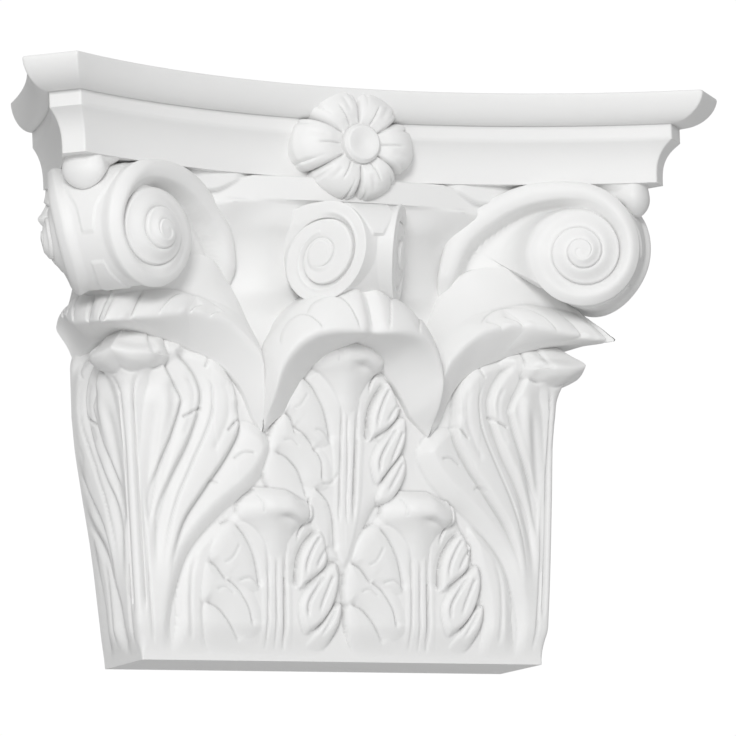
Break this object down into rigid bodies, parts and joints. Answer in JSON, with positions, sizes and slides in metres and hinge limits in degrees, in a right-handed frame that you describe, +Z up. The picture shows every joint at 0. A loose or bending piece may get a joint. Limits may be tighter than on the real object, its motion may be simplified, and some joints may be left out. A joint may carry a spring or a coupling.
{
  "type": "corinthian pilaster capital",
  "caption": "Flat-backed Corinthian pilaster capital with acanthus leaves, corner volutes, central helices and a concave abacus with a rosette.",
  "frame": {"origin": "centre of the underside, which rests on the pilaster shaft", "axes": "+Z up, +X along the width to the viewer's right, +Y into the wall; the carved front looks along -Y and the flat back lies at y = 0.0225"},
  "size_m": [0.3826, 0.1263, 0.282],
  "materials": {
    "white_primer": "matte white factory primer"
  },
  "bodies": {
    "root": {"pilaster_capital": "white_primer"}
  },
  "joints": []
}
